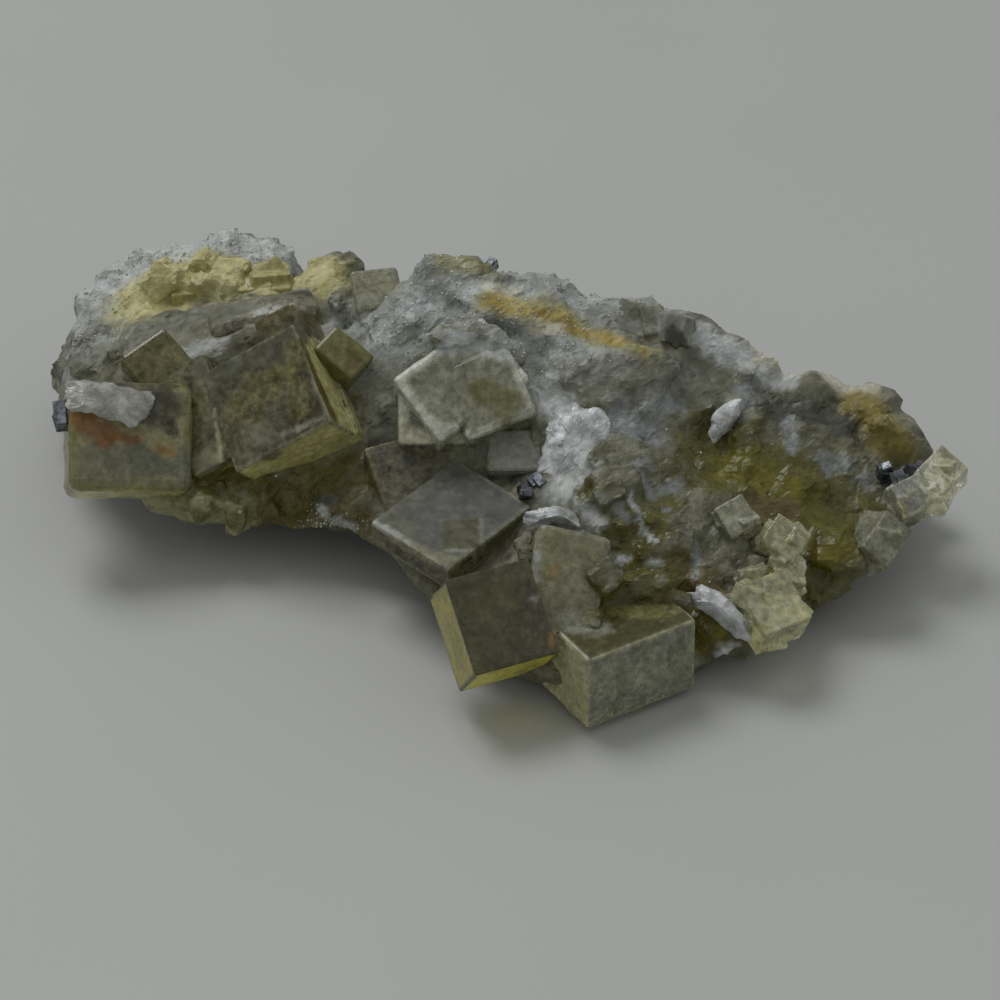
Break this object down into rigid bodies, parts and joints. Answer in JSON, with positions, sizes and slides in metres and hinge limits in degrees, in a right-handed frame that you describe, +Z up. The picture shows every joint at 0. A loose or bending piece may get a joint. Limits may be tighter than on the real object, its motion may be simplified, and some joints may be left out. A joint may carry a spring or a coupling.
{
  "type": "mineral specimen",
  "caption": "Fluorite with galena: grey-green rock carrying clear yellow-green fluorite cubes, dark galena grains and white quartz, lying on a flat broken base.",
  "frame": {"origin": "On the flat base at z = 0, below the middle of the specimen's bounding box.", "axes": "+X runs left to right along the specimen's length, +Y runs from the front, where the large cubes are, to the back, and +Z is up from the base."},
  "size_m": [0.073, 0.0528, 0.0201],
  "materials": {
    "rock": "rough broken rock with a fine crystal crust",
    "fluorite_yellow": "clear to cloudy yellow-green crystal, frosted faces",
    "fluorite_pale": "clear pale yellow crystal, frosted faces",
    "fluorite_dark": "smoky olive crystal",
    "galena": "dark lead-grey metallic crystal faces",
    "quartz": "white translucent quartz, rough"
  },
  "bodies": {
    "root": {"matrix": "rock", "left_cubes": "fluorite_yellow", "middle_cubes": "fluorite_pale", "front_cubes": "fluorite_yellow", "back_cubes": "fluorite_yellow", "yellow_crystals": "fluorite_pale", "tip_crystals": "fluorite_pale", "grey_cube": "fluorite_dark", "wedge_crystal": "fluorite_dark", "dark_olive_crystal": "fluorite_dark", "dark_lens_crystal": "fluorite_dark", "saddle_cube": "fluorite_dark", "dark_facet_cube": "fluorite_dark", "ridge_slab": "fluorite_dark", "pale_round_crystal": "fluorite_pale", "edge_crystal": "fluorite_dark", "galena_left": "galena", "galena_middle": "galena", "galena_right": "galena", "galena_top": "galena", "quartz_plate": "quartz", "quartz_mass": "quartz", "quartz_arch": "quartz", "quartz_rod": "quartz", "quartz_flake": "quartz"}
  },
  "joints": []
}
